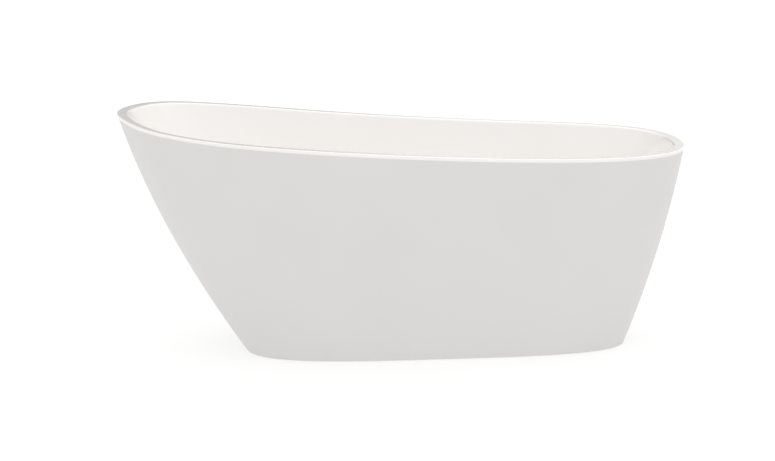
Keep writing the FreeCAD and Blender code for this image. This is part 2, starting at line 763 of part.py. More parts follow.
def make_leg_pad(x, y):
    """Round foot with a socket in which the stud turns."""
    foot = 2
    shoulder = 4
    fillet = 3
    pad = turned([(0, 0), (LEG_PAD_RADIUS - foot, 0, foot * QUARTER_BOW), (LEG_PAD_RADIUS, foot),
                  (LEG_PAD_RADIUS, LEG_PAD_HEIGHT - shoulder, shoulder * QUARTER_BOW),
                  (LEG_PAD_RADIUS - shoulder, LEG_PAD_HEIGHT),
                  (LEG_BOSS_RADIUS + fillet, LEG_PAD_HEIGHT),
                  (LEG_BOSS_RADIUS, LEG_PAD_HEIGHT + fillet),
                  (LEG_BOSS_RADIUS, LEG_BOSS_TOP), (0, LEG_BOSS_TOP)])
    pad.translate(Vector(x, y, 0))
    return pad.cut(cylinder(STUD_RADIUS + THREAD_CLEARANCE, x, y, STUD_FOOT - 0.1, LEG_BOSS_TOP))


# ---- drain, stopper and waste -------------------------------------------------------------
SHANK_RADIUS = 23.5
SHANK_BORE = 20.5
SHANK_BOTTOM = 128.0
GASKET_THICK = 2.0
FLANGE_BOTTOM = SEAT_Z + GASKET_THICK
FLANGE_TOP = FLANGE_BOTTOM + 3.5
FLANGE_RADIUS = 37.0
FLANGE_EDGE = 2.0
FLANGE_MOUTH = 28.0             # inner edge of the flange's flat top
SEAL_SEAT_TOP = 159.5           # where the mouth meets the shank's bore
ARM_WIDTH = 3.0                 # of the arms of both spiders
HUB_RADIUS = 7.5
HUB_BOTTOM = 130.0
HUB_TOP = 136.0
CARTRIDGE_RADIUS = 5.0
CARTRIDGE_BOTTOM = 114.0
CARTRIDGE_TOP = 142.0
PLUNGER_RADIUS = 3.0
PLUNGER_BOTTOM = 118.0
PLUNGER_TOP = 159.9
PLUG_RADIUS = 19.0
PLUG_BOTTOM = 152.0
GROOVE_RADIUS = 17.0
CAP_RADIUS = 31.0
CAP_BOTTOM = FLANGE_TOP + 1.5
CAP_EDGE = 1.2                  # radius of the half-round edge of the cap
CAP_RISE = 3.1                  # height of the dome above that edge
DOME_STEPS = 5
SEAL_BOTTOM = 154.0
SEAL_TOP = 158.5
SPRING_WIRE = 0.5
SPRING_RADIUS = 4.6
SPRING_TURNS = 4
DRAIN_NUT_SIZE = 60.0
DRAIN_NUT_HEIGHT = 9.0
SOCKET_RADIUS = 29.0
SOCKET_BOTTOM = 98.0
SOCKET_TOP = BOARD_TOP - GASKET_THICK - DRAIN_NUT_HEIGHT - 0.5
WASTE_RADIUS = 20.0
WASTE_BORE = 17.5
WASTE_BOTTOM = 50.0
WASTE_TOP = 90.0
INLET_END = 50.0                # how far the inlet boss reaches from the drain's axis
INLET_RADIUS = 15.5
INLET_SOCKET = 20.0             # how deep the pipe's socket is


def at_drain(shape):
    shape.translate(DRAIN)
    return shape


def make_drain_flange():
    """Chromed flange and shank in one piece, with a four-armed spider for the stopper."""
    body = turned([
        (SHANK_BORE, SHANK_BOTTOM), (SHANK_RADIUS, SHANK_BOTTOM), (SHANK_RADIUS, FLANGE_BOTTOM),
        (FLANGE_RADIUS, FLANGE_BOTTOM),
        (FLANGE_RADIUS, FLANGE_TOP - FLANGE_EDGE, FLANGE_EDGE * QUARTER_BOW),
        (FLANGE_RADIUS - FLANGE_EDGE, FLANGE_TOP),
        (FLANGE_MOUTH, FLANGE_TOP, 1), (SHANK_BORE, SEAL_SEAT_TOP)])
    hub = turned([(CARTRIDGE_RADIUS + THREAD_CLEARANCE, HUB_BOTTOM), (HUB_RADIUS, HUB_BOTTOM),
                  (HUB_RADIUS, HUB_TOP), (CARTRIDGE_RADIUS + THREAD_CLEARANCE, HUB_TOP)])
    arms = []
    half_arm = ARM_WIDTH / 2
    for quarter in range(4):
        arm = block(HUB_RADIUS - 1, SHANK_BORE + 1, -half_arm, half_arm,
                    HUB_BOTTOM + 1, HUB_TOP - 1)
        arm.rotate(Vector(0, 0, 0), UP, 45 + 90 * quarter)
        arms.append(arm)
    return at_drain(body.fuse([hub] + arms).removeSplitter())


def make_drain_gasket(outer, bottom, top):
    return tube(outer, SHANK_RADIUS + 0.3, DRAIN_X, 0, bottom, top)


def make_drain_locknut():
    """Large nut that clamps the laminate between flange and gasket."""
    top = BOARD_TOP - GASKET_THICK
    return hex_nut(DRAIN_NUT_SIZE, SHANK_RADIUS + THREAD_CLEARANCE, DRAIN_X, 0,
                   top - DRAIN_NUT_HEIGHT, top)


def make_drain_body():
    """Plastic waste body: socket for the shank, side inlet and 40 mm outlet."""
    outside = turned([(0, WASTE_BOTTOM), (WASTE_RADIUS, WASTE_BOTTOM), (WASTE_RADIUS, WASTE_TOP),
                      (SOCKET_RADIUS, SOCKET_BOTTOM), (SOCKET_RADIUS, SOCKET_TOP),
                      (0, SOCKET_TOP)])
    ledge = SHANK_BOTTOM - 0.3
    chamber = turned([(0, WASTE_BOTTOM), (WASTE_BORE, WASTE_BOTTOM), (WASTE_BORE, WASTE_TOP + 2),
                      (SHANK_RADIUS - 1, SOCKET_BOTTOM + 1), (SHANK_RADIUS - 1, ledge),
                      (SHANK_RADIUS + THREAD_CLEARANCE, ledge),
                      (SHANK_RADIUS + THREAD_CLEARANCE, SOCKET_TOP), (0, SOCKET_TOP)])
    start = Vector(0, 0, INLET_Z)
    along = Vector(1, 0, 0)
    boss = Part.makeCylinder(INLET_RADIUS, INLET_END, start, along)
    socket_start = start + along * (INLET_END - INLET_SOCKET)
    socket = Part.makeCylinder(PIPE_RADIUS + 0.1, INLET_SOCKET, socket_start, along)
    way = Part.makeCylinder(PIPE_BORE, INLET_END, start, along)
    return at_drain(outside.fuse(boss).removeSplitter().cut(chamber).cut(socket).cut(way))


def make_stopper_cap():
    """Domed chrome cap with the plug that carries its seal."""
    groove_bottom = SEAL_BOTTOM - 0.2
    edge = CAP_RADIUS - CAP_EDGE
    dome_bottom = CAP_BOTTOM + 2 * CAP_EDGE
    shares = [1 - step / DOME_STEPS for step in range(DOME_STEPS + 1)]
    dome = [(edge * share, dome_bottom + CAP_RISE * (1 - share ** 2)) for share in shares]
    cap = turned([(0, PLUG_BOTTOM), (PLUG_RADIUS, PLUG_BOTTOM), (PLUG_RADIUS, groove_bottom),
                  (GROOVE_RADIUS, groove_bottom), (GROOVE_RADIUS, CAP_BOTTOM),
                  (edge, CAP_BOTTOM, CAP_EDGE)] + dome)
    return at_drain(cap.cut(cylinder(PLUNGER_RADIUS + THREAD_CLEARANCE, 0, 0,
                                     PLUG_BOTTOM, PLUNGER_TOP + 0.1)))


def make_stopper_seal():
    return tube(SHANK_BORE - 0.1, GROOVE_RADIUS + 0.05, DRAIN_X, 0, SEAL_BOTTOM, SEAL_TOP)


def make_stopper_plunger():
    """Rod that slides in the cartridge and carries the cap."""
    return cylinder(PLUNGER_RADIUS, DRAIN_X, 0, PLUNGER_BOTTOM, PLUNGER_TOP)


def make_stopper_cartridge():
    """Sleeve of the click mechanism, screwed into the spider."""
    bore = PLUNGER_RADIUS + THREAD_CLEARANCE
    return at_drain(turned([(bore, CARTRIDGE_BOTTOM), (CARTRIDGE_RADIUS, CARTRIDGE_BOTTOM),
                            (CARTRIDGE_RADIUS, HUB_TOP), (HUB_RADIUS, HUB_TOP),
                            (HUB_RADIUS, CARTRIDGE_TOP), (bore, CARTRIDGE_TOP)]))


def make_stopper_spring():
    """Coil spring between the cartridge and the cap."""
    play = 0.1
    height = PLUG_BOTTOM - CARTRIDGE_TOP - 2 * (SPRING_WIRE + play)
    helix = Part.makeHelix(height / SPRING_TURNS, height, SPRING_RADIUS)
    start = Part.Circle(Vector(SPRING_RADIUS, 0, 0), Vector(0, 1, 0), SPRING_WIRE)
    spring = helix.makePipeShell([Part.Wire([start.toShape()])], True, True)
    spring.translate(Vector(DRAIN_X, 0, CARTRIDGE_TOP + SPRING_WIRE + play))
    return spring


# ---- overflow -----------------------------------------------------------------------------
BODY_FRONT = 11.6               # faces of the overflow chamber, measured behind the wall
BODY_BACK = 32.4
BODY_WALL = 2.2
BODY_HALF_WIDTH = 27.0
BODY_UP = 24.0
BODY_DOWN = 30.0
PIPE_BEHIND = 22.0              # the pipe's axis runs this far behind the basin's inside face
SPIGOT_END = 52.0
BODY_CORNER = 4.0
COLLAR_RADIUS = 27.0
COLLAR_SEAT = 1.6               # the flat collar's back clears the curved wall
COLLAR_THICK = 2.0
COLLAR_EDGE = 0.6
THROAT_RADIUS = 19.5
THROAT_BORE = 17.0
THROAT_END = -24.0
STEM_RADIUS = 6.0
STEM_END = -8.0
STEM_SOCKET = (-7.0, -2.0)
STEM_SOCKET_RADIUS = 9.0
COVER_RADIUS = 32.0
COVER_WALL = 2.5
COVER_LIP = 4.0                 # the cover's edge stands this far off the wall
COVER_FACE = 12.0
COVER_THICK = 3.0
COVER_EDGE = 2.0
CLAMP_WALL = 1.0
CLAMP_WIDTH = 9.0
INLET_NUT_WALL = 3.5
INLET_NUT_LENGTH = 20.0
INLET_NUT_SHOULDER = 15.2       # depth at which the nut narrows to the pipe
INLET_NUT_RIDGES = 12


def overflow_frame():
    """Placement on the basin wall: X across, Y up the wall, Z into the basin."""
    share = wall_share(0, OVERFLOW_DEPTH)
    step = 1e-3
    upward = (wall(0, share + step) - wall(0, share - step)).normalize()
    across = Vector(0, -1, 0)
    return Placement(wall(0, share), Rotation(across, upward, across.cross(upward), "XYZ"))


def on_wall(shape):
    shape.Placement = overflow_frame().multiply(shape.Placement)
    return shape


def make_overflow_cover():
    """Chrome cap that stands off the wall so that water enters all round it."""
    ceiling = COVER_FACE - COVER_THICK
    inside = COVER_RADIUS - COVER_WALL
    return on_wall(turned([
        (0, STEM_END), (STEM_RADIUS, STEM_END), (STEM_RADIUS, ceiling), (inside, ceiling),
        (inside, COVER_LIP), (COVER_RADIUS, COVER_LIP),
        (COVER_RADIUS, COVER_FACE - COVER_EDGE, COVER_EDGE * QUARTER_BOW),
        (COVER_RADIUS - COVER_EDGE, COVER_FACE), (0, COVER_FACE)]))


def make_overflow_flange():
    """Ring and shank through the wall, with a spider that holds the cover."""
    face = COLLAR_SEAT + COLLAR_THICK
    body = turned([
        (THROAT_BORE, THROAT_END), (THROAT_RADIUS, THROAT_END), (THROAT_RADIUS, COLLAR_SEAT),
        (COLLAR_RADIUS, COLLAR_SEAT),
        (COLLAR_RADIUS, face - COLLAR_EDGE, COLLAR_EDGE * QUARTER_BOW),
        (COLLAR_RADIUS - COLLAR_EDGE, face), (THROAT_BORE, face)])
    low, high = STEM_SOCKET
    bore = STEM_RADIUS + THREAD_CLEARANCE
    hub = turned([(bore, low), (STEM_SOCKET_RADIUS, low), (STEM_SOCKET_RADIUS, high), (bore, high)])
    arms = []
    half_arm = ARM_WIDTH / 2
    for third in range(3):
        arm = block(STEM_SOCKET_RADIUS - 1, THROAT_BORE + 1, -half_arm, half_arm, low + 1, high - 1)
        arm.rotate(Vector(0, 0, 0), UP, 90 + 120 * third)
        arms.append(arm)
    return on_wall(body.fuse([hub] + arms).removeSplitter())


def make_overflow_gasket():
    """Rubber ring between the back of the laminate and the chamber."""
    front = SHELL_WALL + BACKING_GAP + BACKING_WALL + 0.4
    return on_wall(tube(28, 20.2, 0, 0, 0.1 - BODY_FRONT, -front))


def make_overflow_body():
    """Flat chamber behind the wall, with a spigot for the pipe at its foot."""
    outer = block(-BODY_HALF_WIDTH, BODY_HALF_WIDTH, -BODY_DOWN, BODY_UP, -BODY_BACK, -BODY_FRONT)
    outer = outer.makeFillet(BODY_CORNER, [e for e in outer.Edges if abs(e.tangentAt(0).z) > 0.9])
    inner = block(BODY_WALL - BODY_HALF_WIDTH, BODY_HALF_WIDTH - BODY_WALL,
                  BODY_WALL - BODY_DOWN, BODY_UP - BODY_WALL,
                  BODY_WALL - BODY_BACK, -BODY_FRONT - BODY_WALL)
    mouth = cylinder(THROAT_RADIUS + THREAD_CLEARANCE, 0, 0, -BODY_FRONT - BODY_WALL, -BODY_FRONT)
    down = Vector(0, -1, 0)
    start = Vector(0, -BODY_DOWN, -PIPE_BEHIND)
    spigot = Part.makeCylinder(PIPE_BORE - 0.1, SPIGOT_END - BODY_DOWN, start, down)
    way = Part.makeCylinder(PIPE_BORE - 1.6, SPIGOT_END - BODY_DOWN + BODY_WALL,
                            start - down * BODY_WALL, down)
    return on_wall(outer.cut(inner).cut(mouth).fuse(spigot).removeSplitter().cut(way))


def pipe_path():
    """Start, corner and end of the overflow pipe's centre line."""
    frame = overflow_frame()
    start = frame.multVec(Vector(0, -BODY_DOWN - 1, -PIPE_BEHIND))
    down = frame.Rotation.multVec(Vector(0, -1, 0))
    corner = start + down * ((start.z - INLET_Z) / -down.z)
    end = Vector(DRAIN_X + INLET_END - INLET_SOCKET + 2, 0, INLET_Z)
    return start, corner, end


def make_overflow_pipe():
    """Flexible pipe held between the shells: two straight runs and one large bend."""
    start, corner, end = pipe_path()
    to_start = (start - corner).normalize()
    to_end = (end - corner).normalize()
    half_turn = (math.pi - to_start.getAngle(to_end)) / 2
    back_off = PIPE_BEND * math.tan(half_turn)
    bend_start = corner + to_start * back_off
    bend_end = corner + to_end * back_off
    bisector = (to_start + to_end).normalize()
    centre = corner + bisector * (PIPE_BEND / math.cos(half_turn))
    middle = centre - bisector * PIPE_BEND
    path = Part.Wire([Part.LineSegment(start, bend_start).toShape(),
                      Part.Arc(bend_start, middle, bend_end).toShape(),
                      Part.LineSegment(bend_end, end).toShape()])
    solids = []
    for radius in (PIPE_RADIUS, PIPE_BORE):
        section = Part.Wire([Part.Circle(start, bend_start - start, radius).toShape()])
        solids.append(path.makePipeShell([section], True, False))
    return solids[0].cut(solids[1])


def make_pipe_clamp():
    """Thin band that grips the pipe on the chamber's spigot."""
    bore = PIPE_RADIUS + 0.1
    band = tube(bore + CLAMP_WALL, bore, 0, 0, 0, CLAMP_WIDTH)
    band.Placement = Placement(Vector(0, 1 - BODY_DOWN - CLAMP_WIDTH, -PIPE_BEHIND),
                               Rotation(Vector(1, 0, 0), 90))
    return on_wall(band)


def make_inlet_nut():
    """Compression nut that holds the pipe in the drain body's inlet."""
    bore = INLET_RADIUS + THREAD_CLEARANCE
    outside = INLET_RADIUS + INLET_NUT_WALL
    neck = PIPE_RADIUS + 0.15
    nut = turned([(bore, 0), (outside, 0), (outside, INLET_NUT_LENGTH - 3),
                  (INLET_RADIUS + 1, INLET_NUT_LENGTH), (neck, INLET_NUT_LENGTH),
                  (neck, INLET_NUT_SHOULDER), (bore, INLET_NUT_SHOULDER)])
    ridges = []
    for i in range(INLET_NUT_RIDGES):
        ridge = block(outside - 0.5, outside + 1.5, -1.5, 1.5, 1, INLET_NUT_LENGTH - 5)
        ridge.rotate(Vector(0, 0, 0), UP, 360 / INLET_NUT_RIDGES * i)
        ridges.append(ridge)
    nut = nut.fuse(ridges).removeSplitter()
    nut.Placement = Placement(Vector(DRAIN_X + INLET_END - INLET_NUT_SHOULDER + 0.2, 0, INLET_Z),
                              Rotation(Vector(0, 1, 0), 90))
    return nut


# ---- holes through the shells for the overflow --------------------------------------------
def drilled_for_overflow(shell):
    return shell.cut(on_wall(cylinder(OVERFLOW_HOLE_RADIUS, 0, 0, -BODY_FRONT, 8)))


# ---- every sub-part, by the name of its node ----------------------------------------------
def all_parts():
    parts = {
        "inner_shell": drilled_for_overflow(make_inner_shell()),
        "outer_shell": make_outer_shell(),
        "rim_bond": make_rim_bond(),
        "basin_backing": drilled_for_overflow(make_basin_backing()),
        "floor_board": make_floor_board(),
        "rail_left": make_rail(RAIL_Y),
        "rail_right": make_rail(-RAIL_Y),
        "rail_end_caps": make_rail_end_caps(),
        "crossbar_end_caps": make_crossbar_end_caps(),
        "frame_bolts": make_frame_bolts(),
        "rivet_nuts": make_rivet_nuts(),
        "board_screws": make_board_screws(),
        "skirt_brackets": make_skirt_brackets(),
        "bracket_bolts": make_bracket_bolts(),
        "bracket_pads": make_bracket_pads(),
        "leg_nuts": make_leg_nuts(),
        "leg_locknuts": make_leg_locknuts(),
        "drain_flange": make_drain_flange(),
        "drain_gasket_upper": make_drain_gasket(34, SEAT_Z, FLANGE_BOTTOM),
        "drain_gasket_lower": make_drain_gasket(36, BOARD_TOP - GASKET_THICK, BOARD_TOP),
        "drain_locknut": make_drain_locknut(),
        "drain_body": make_drain_body(),
        "stopper_cap": make_stopper_cap(),
        "stopper_seal": make_stopper_seal(),
        "stopper_plunger": make_stopper_plunger(),
        "stopper_cartridge": make_stopper_cartridge(),
        "stopper_spring": make_stopper_spring(),
        "overflow_cover": make_overflow_cover(),
        "overflow_flange": make_overflow_flange(),
        "overflow_gasket": make_overflow_gasket(),
        "overflow_body": make_overflow_body(),
        "overflow_pipe": make_overflow_pipe(),
        "overflow_pipe_clamp": make_pipe_clamp(),
        "overflow_inlet_nut": make_inlet_nut(),
    }
    for name in CROSSBARS:
        parts["crossbar_" + name] = make_crossbar(name)
    for name, (x, y, kind) in LEGS.items():
        parts["leg_stud_" + name] = make_leg_stud(x, y, kind)
        parts["leg_pad_" + name] = make_leg_pad(x, y)
    return parts


os.makedirs("parts", exist_ok=True)
for node, shape in all_parts().items():
    sound = shape.isValid() and shape.Volume > 0
    print(node, "solids", len(shape.Solids), "volume", round(shape.Volume), "sound", sound)
    shape.exportStep("parts/" + node + ".step")
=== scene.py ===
import json
import math

import bmesh
import bpy
import numpy as np
from mathutils import Matrix, Vector


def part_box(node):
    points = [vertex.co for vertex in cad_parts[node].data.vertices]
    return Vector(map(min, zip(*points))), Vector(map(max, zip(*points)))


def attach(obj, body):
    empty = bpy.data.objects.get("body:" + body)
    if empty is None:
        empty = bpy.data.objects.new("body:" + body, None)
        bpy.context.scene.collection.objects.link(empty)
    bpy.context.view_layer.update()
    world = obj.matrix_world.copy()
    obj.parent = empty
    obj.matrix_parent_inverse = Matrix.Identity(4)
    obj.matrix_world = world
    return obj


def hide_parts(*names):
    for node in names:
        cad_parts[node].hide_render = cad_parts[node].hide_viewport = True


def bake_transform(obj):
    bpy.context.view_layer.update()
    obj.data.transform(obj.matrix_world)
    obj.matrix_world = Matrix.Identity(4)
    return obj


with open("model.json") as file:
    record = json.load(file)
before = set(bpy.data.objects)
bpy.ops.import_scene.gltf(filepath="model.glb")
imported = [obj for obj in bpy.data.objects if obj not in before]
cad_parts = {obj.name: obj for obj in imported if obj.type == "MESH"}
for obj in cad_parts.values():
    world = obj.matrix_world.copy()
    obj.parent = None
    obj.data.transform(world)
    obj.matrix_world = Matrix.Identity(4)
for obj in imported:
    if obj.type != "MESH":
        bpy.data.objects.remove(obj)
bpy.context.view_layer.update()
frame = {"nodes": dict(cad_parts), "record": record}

# ---- the tub's shape, in metres, in the frame of the CAD model -----------------------------
# +X points to the drain end, +Z up. The shells are drawn from the same outlines as the CAD
# solids, only finer, so that they stay smooth under glossy light. A squareness is the power of
# the oval at the head tip, along the sides and at the drain tip; 2 is a plain ellipse. An egg
# is the share by which an outline widens towards the head. A bulge bows a wall outwards.
HALF_LENGTH = 0.850
HEAD_HEIGHT = 0.720
DRAIN_END_HEIGHT = 0.614
SWEEP_POWER = 2.0

RIM_HALF_WIDTH = 0.385
RIM_SQUARENESS = (2.15, 4.25, 2.7)
RIM_EGG = 0.106
RIM_WIDTH = 0.032
RIM_OUTER_ROUND = 0.004
RIM_INNER_ROUND = 0.005
OUTER_ROUND_WEIGHT = math.cos(math.radians(40))   # about half the angle by which the edge turns
INNER_ROUND_WEIGHT = math.cos(math.radians(38))
LIP_DEPTH = 0.010

BASE_HALF_LENGTH = 0.581
BASE_HALF_WIDTH = 0.237
BASE_SHIFT = 0.100
BASE_SQUARENESS = (3.3, 3.4, 3.4)
BASE_EGG = 0.053
SIDE_BULGE = 0.39
SKIRT_FLANGE = 0.020
SHELL_WALL = 0.005

FLOOR_HALF_LENGTH = 0.562
FLOOR_HALF_WIDTH = 0.205
FLOOR_SHIFT = 0.093
FLOOR_SQUARENESS = (2.9, 2.9, 2.9)
FLOOR_EGG = 0.10
FLOOR_FALL = 0.006                  # fall of the floor for each metre towards the drain
BASIN_BULGE = 0.10
COVE_HEIGHT = 0.22                  # share of the wall's height where the cove ends
COVE_REACH = 0.070
COVE_WEIGHT = 0.8
SEAT_DEPTH = 0.005
SEAT_RADIUS = 0.044
DISH_RADIUS = 0.060
DRAIN_HOLE_RADIUS = 0.0245
OVERFLOW_DEPTH = 0.095              # centre of the overflow below the rim
OVERFLOW_HOLE_RADIUS = 0.020

SPRING_WIRE_RADIUS = 0.0005
SPRING_TURNS = 4

# ---- places read from the frame --------------------------------------------------------------
SKIRT_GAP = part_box("outer_shell")[0].z
SEAT_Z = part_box("drain_gasket_upper")[0].z
FLOOR_LEVEL = SEAT_Z + SEAT_DEPTH
DRAIN = (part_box("drain_flange")[0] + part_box("drain_flange")[1]) / 2
DRAIN.z = 0

# ---- how finely the pieces are drawn ---------------------------------------------------------
ROUND_THE_TUB = 480
WALL_ROWS = 40
COVE_ROWS = 24
ROUND_ROWS = 10
FLAT_ROWS = 4
SEAT_ROWS = 3
LIP_ROWS = 2
HOLE_SIDES = 64
SPRING_SIDES = 12
SPRING_STEPS = 48                   # for each turn
ANGLES = np.linspace(0, 2 * math.pi, ROUND_THE_TUB, endpoint=False)
STEP = 1e-4                         # small step along a skin, to find its slope
SHARP_FROM = math.radians(40)       # faces that meet at more than this keep a sharp edge
UP = np.array([0.0, 0.0, 1.0])
IN_PLAN = 1 - UP


# ---- outlines: each takes an array of angles and gives an array of points --------------------
def points(x, y, z):
    return np.stack([x, y, z + np.zeros_like(x)], axis=-1)


def unit(vectors):
    return vectors / np.linalg.norm(vectors, axis=-1, keepdims=True)


def superellipse(angle, half_length, half_width, squareness, egg):
    cosine = np.cos(angle)
    sine = np.sin(angle)
    head, side, drain = squareness
    power = side + (np.where(cosine < 0, head, drain) - side) * cosine ** 2
    reach = (abs(cosine) ** power + abs(sine) ** power) ** (1 / power)
    x = half_length * cosine / reach
    y = half_width * sine / reach * (1 - egg * x / half_length)
    return points(x, y, 0)


def rim_height(x):
    rise = np.clip((HALF_LENGTH - x) / (2 * HALF_LENGTH), 0, None)
    return DRAIN_END_HEIGHT + (HEAD_HEIGHT - DRAIN_END_HEIGHT) * rise ** SWEEP_POWER


def rim_plan(angle):
    return superellipse(angle, HALF_LENGTH, RIM_HALF_WIDTH, RIM_SQUARENESS, RIM_EGG)


def rim_outline(angle, inset=0.0):
    """Line on the top of the rim, moved inwards from its outer edge by the inset."""
    outward = unit(np.cross(rim_plan(angle + STEP) - rim_plan(angle - STEP), UP))
    point = rim_plan(angle) - outward * inset
    point[..., 2] = rim_height(point[..., 0])
    return point


# ---- skins: outlines at a share of the way up a wall -----------------------------------------
def column(share, angle):
    """Share of the height as a column, so that it can differ round the tub."""
    return np.broadcast_to(np.asarray(share, float), angle.shape)[:, None]


def bowed(bottom, top, share, bulge):
    """Points between bottom and top, bowed outwards in plan by the bulge."""
    point = bottom + (top - bottom) * (share + bulge * share * (1 - share))
    point[..., 2] = bottom[..., 2] + (top[..., 2] - bottom[..., 2]) * share[..., 0]
    return point


def skirt(angle, share):
    """Outer face of the outer shell, from its lower edge (0) to the rim (1)."""
    base = superellipse(angle, BASE_HALF_LENGTH, BASE_HALF_WIDTH, BASE_SQUARENESS, BASE_EGG)
    base = base + np.array([BASE_SHIFT, 0, SKIRT_GAP])
    return bowed(base, rim_outline(angle), column(share, angle), SIDE_BULGE)


def skin_normal(skin, angle, share):
    along = skin(angle + STEP, share) - skin(angle - STEP, share)
    upward = skin(angle, share + STEP) - skin(angle, share - STEP)
    return unit(np.cross(along, upward))


def skirt_inside(angle, share, depth):
    """The skirt's face moved inwards at the same height, so far that the wall is depth thick."""
    level = skin_normal(skirt, angle, share) * IN_PLAN
    squared = (level ** 2).sum(axis=-1, keepdims=True)
    return skirt(angle, share) - level * depth / squared


def below_rim(angle, depth):
    """Share of the skirt's height at a depth below the rim."""
    return 1 - depth / (rim_outline(angle)[..., 2] - SKIRT_GAP)


def wall(angle, share):
    """Basin wall with no cove or rounding, from the floor (0) to the rim (1)."""
    bottom = superellipse(angle, FLOOR_HALF_LENGTH, FLOOR_HALF_WIDTH, FLOOR_SQUARENESS, FLOOR_EGG)
    bottom = bottom + np.array([FLOOR_SHIFT, 0, 0])
    away = np.linalg.norm(bottom - np.array(DRAIN), axis=-1)
    bottom[..., 2] = FLOOR_LEVEL + FLOOR_FALL * away
    return bowed(bottom, rim_outline(angle, RIM_WIDTH), column(share, angle), BASIN_BULGE)


def wall_share(angle, depth):
    """Share of the basin wall's height at a depth below the rim."""
    ones = np.ones_like(angle)
    return 1 - depth / (wall(angle, ones)[..., 2] - wall(angle, 0 * ones)[..., 2])


def conic(start, corner, end, weight, share):
    """Round that leaves start and reaches end along their lines to the corner."""
    start_pull = (1 - share) ** 2
    corner_pull = 2 * weight * share * (1 - share)
    end_pull = share ** 2
    total = start_pull + corner_pull + end_pull
    return (start * start_pull + corner * corner_pull + end * end_pull) / total


def round_drain(angle, radius, z):
    return points(DRAIN.x + radius * np.cos(angle), DRAIN.y + radius * np.sin(angle), z)


def basin(angle, station):
    """Inside face of the basin: floor in stations 0 to 1, cove in 1 to 2, wall in 2 to 3."""
    top = wall(angle, COVE_HEIGHT)
    slope = (wall(angle, COVE_HEIGHT + STEP) - wall(angle, COVE_HEIGHT - STEP)) / (2 * STEP)
    corner = top - slope * COVE_HEIGHT
    centre = round_drain(angle, DISH_RADIUS, FLOOR_LEVEL)
    edge = corner + unit(centre - corner) * COVE_REACH
    if np.max(station) <= 1 + STEP:
        return centre + (edge - centre) * station
    if np.max(station) <= 2 + STEP:
        return conic(edge, corner, top, COVE_WEIGHT, station - 1)
    end = wall_share(angle, RIM_INNER_ROUND)
    return wall(angle, COVE_HEIGHT + (end - COVE_HEIGHT) * (station - 2))


def under_basin(angle, station):
    return basin(angle, station) + skin_normal(basin, angle, station) * SHELL_WALL


# ---- skins of the rim and of the drain's seat, each from share 0 to 1 ------------------------
def inner_round(angle, share):
    end = rim_outline(angle, RIM_WIDTH - RIM_INNER_ROUND)
    return conic(basin(angle, 3), wall(angle, 1), end, INNER_ROUND_WEIGHT, share)


def flat_rim(angle, share):
    start = RIM_WIDTH - RIM_INNER_ROUND
    return rim_outline(angle, start + (RIM_OUTER_ROUND - start) * share)


def outer_round(angle, share):
    start = rim_outline(angle, RIM_OUTER_ROUND)
    end = skirt(angle, below_rim(angle, RIM_OUTER_ROUND))
    return conic(start, rim_outline(angle), end, OUTER_ROUND_WEIGHT, share)


def lip(angle, share):
    depth = RIM_OUTER_ROUND + (LIP_DEPTH - RIM_OUTER_ROUND) * share
    return skirt(angle, below_rim(angle, depth))


def seat(angle, share):
    return round_drain(angle, DRAIN_HOLE_RADIUS + (SEAT_RADIUS - DRAIN_HOLE_RADIUS) * share, SEAT_Z)


def dish(angle, share):
    """Smooth rise from the drain's seat to the floor of the basin."""
    radius = SEAT_RADIUS + (DISH_RADIUS - SEAT_RADIUS) * share
    rise = SEAT_DEPTH * share ** 2 * (3 - 2 * share)
    return round_drain(angle, radius, SEAT_Z + rise)


def dish_under(angle, share):
    edge_shift = under_basin(angle, 0) - dish(angle, 1) + UP * SHELL_WALL
    return dish(angle, share) - UP * SHELL_WALL + edge_shift * share


# ---- meshes ----------------------------------------------------------------------------------
def new_object(name, mesh):
    obj = bpy.data.objects.new(name, mesh)
    bpy.context.scene.collection.objects.link(obj)
    return obj


def smooth(mesh):
    """Smooth shading, except across sharp edges."""
    for polygon in mesh.polygons:
        polygon.use_smooth = True
    mesh.set_sharp_from_angle(angle=SHARP_FROM)


def face_outwards(mesh):
    work = bmesh.new()
    work.from_mesh(mesh)
    bmesh.ops.recalc_face_normals(work, faces=work.faces)
    if work.calc_volume(signed=True) < 0:
        bmesh.ops.reverse_faces(work, faces=work.faces)
    work.to_mesh(mesh)
    work.free()


def closed_mesh(name, vertices, faces):
    mesh = bpy.data.meshes.new(name)
    mesh.from_pydata(vertices.tolist(), [], faces)
    face_outwards(mesh)
    smooth(mesh)
    return mesh


def strip(this, following, count):
    """Quads between two closed rows, each given by the number of its first point."""
    turn = np.arange(count)
    after = (turn + 1) % count
    return np.stack([this + turn, this + after, following + after, following + turn], axis=-1)


def ring_mesh(name, rows, second=()):
    """Closed tube of quads: every row runs round the tub, and the last row joins the first.

    The strips that start at the rows numbered in second take the piece's second material."""
    count = len(rows[0])
    quads = []
    for number in range(len(rows)):
        following = (number + 1) % len(rows)
        quads += strip(number * count, following * count, count).tolist()
    mesh = closed_mesh(name, np.concatenate(rows), quads)
    for number in second:
        for polygon in mesh.polygons[number * count:(number + 1) * count]:
            polygon.material_index = 1
    return new_object(name, mesh)


def spread(skin, start, end, count):
    """Rows of a skin at even stations after start, up to and with end."""
    return [skin(ANGLES, start + (end - start) * (i + 1) / count) for i in range(count)]


